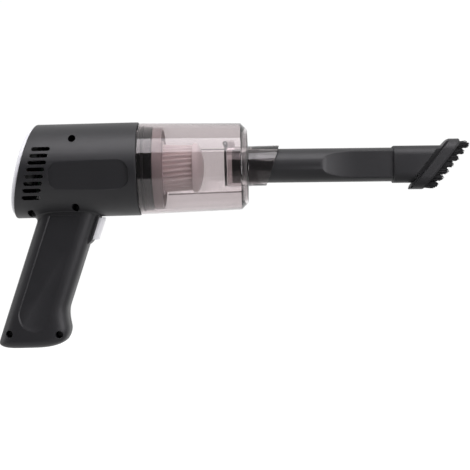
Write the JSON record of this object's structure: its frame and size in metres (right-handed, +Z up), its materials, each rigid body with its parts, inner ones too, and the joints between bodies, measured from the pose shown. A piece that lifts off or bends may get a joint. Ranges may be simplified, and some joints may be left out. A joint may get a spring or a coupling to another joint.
{
  "type": "car vacuum cleaner",
  "caption": "Cordless pistol-grip car vacuum cleaner with a see-through dust cup, pleated filter, round-to-flat crevice nozzle and slanted brush head.",
  "frame": {"origin": "middle of the grip, on the plane where the two housing halves meet", "axes": "+X along the suction axis towards the nozzle, +Y from side to side, +Z up"},
  "size_m": [0.3673, 0.072, 0.172],
  "materials": {
    "housing": "fine matt grain",
    "cover": "satin",
    "screw": "dark zinc",
    "trigger": "satin silver-grey",
    "spring": "drawn wire",
    "switch": "moulded",
    "plunger": "moulded",
    "collar": "polished",
    "seal": "moulded",
    "cup": "clear, smoky tint",
    "pin": "ground",
    "flap": "moulded",
    "filter_plastic": "moulded",
    "pleats": "pleated paper",
    "nozzle": "satin",
    "brush": "satin",
    "bristle": "nylon",
    "motor_steel": "plated",
    "magnet": "sintered",
    "bell": "moulded",
    "bush": "sintered",
    "bracket": "moulded",
    "rotor": "wound",
    "copper": "turned",
    "fan": "moulded",
    "cell": "shrink sleeve",
    "tray": "moulded",
    "strip": "nickel",
    "board": "solder mask",
    "socket": "moulded",
    "lamp": "light pipe",
    "lead": "insulated wire",
    "switch_lead": "insulated wire"
  },
  "bodies": {
    "housing": {"housing_right": "housing", "housing_left": "housing", "rear_cover": "cover", "housing_screws": "screw", "trigger_spring": "spring", "power_switch": "switch", "front_collar": "collar", "collar_seal": "seal", "motor_can": "motor_steel", "motor_magnets": "magnet", "motor_end_bell": "bell", "motor_bushes": "bush", "motor_damper": "seal", "motor_bracket": "bracket", "motor_screws": "screw", "fan_shroud": "bracket", "battery_cells": "cell", "battery_tray": "tray", "cell_contacts": "strip", "control_board": "board", "board_screws": "screw", "charge_socket": "socket", "charge_lamp": "lamp", "battery_leads": "lead", "switch_leads": "switch_lead", "motor_leads": "lead"},
    "trigger": {"trigger": "trigger"},
    "plunger": {"switch_plunger": "plunger"},
    "rotor": {"motor_shaft": "pin", "armature": "rotor", "commutator": "copper", "impeller": "fan", "impeller_nut": "copper"},
    "cup": {"dust_cup": "cup", "flap_pin": "pin"},
    "flap": {"inlet_flap": "flap"},
    "filter": {"filter_frame": "filter_plastic", "filter_pleats": "pleats", "filter_cap": "filter_plastic", "filter_gasket": "seal"},
    "nozzle": {"crevice_nozzle": "nozzle"},
    "brush": {"brush_head": "brush", "bristles_right": "bristle", "bristles_left": "bristle", "bristles_top": "bristle", "bristles_low": "bristle"}
  },
  "joints": [
    {"name": "trigger_press", "type": "slide", "parent": "housing", "child": "trigger", "axis": [-1, 0, 0], "range_m": [0, 0.0035], "stiffness_N_per_m": 400, "deforming": ["trigger_spring"]},
    {"name": "plunger_press", "type": "slide", "parent": "housing", "child": "plunger", "axis": [-1, 0, 0], "range_m": [0, 0.0035]},
    {"name": "rotor_spin", "type": "hinge", "parent": "housing", "child": "rotor", "pos_m": [0.04931, 0, 0.085], "axis": [1, 0, 0], "continuous": true},
    {"name": "cup_pull", "type": "slide", "parent": "housing", "child": "cup", "axis": [1, 0, 0], "range_m": [0, 0.07]},
    {"name": "flap_swing", "type": "hinge", "parent": "cup", "child": "flap", "pos_m": [0.13881, 0, 0.1025], "axis": [0, 1, 0], "range_deg": [0, 20]},
    {"name": "filter_pull", "type": "slide", "parent": "housing", "child": "filter", "axis": [1, 0, 0], "range_m": [0, 0.0052]},
    {"name": "nozzle_pull", "type": "slide", "parent": "cup", "child": "nozzle", "axis": [0.9999, 0, -0.014], "range_m": [0, 0.038]},
    {"name": "brush_pull", "type": "slide", "parent": "nozzle", "child": "brush", "axis": [0.9999, 0, -0.014], "range_m": [0, 0.022]}
  ],
  "couplings": [
    {"joint": "plunger_press", "follows": "trigger_press", "ratio": 1}
  ]
}
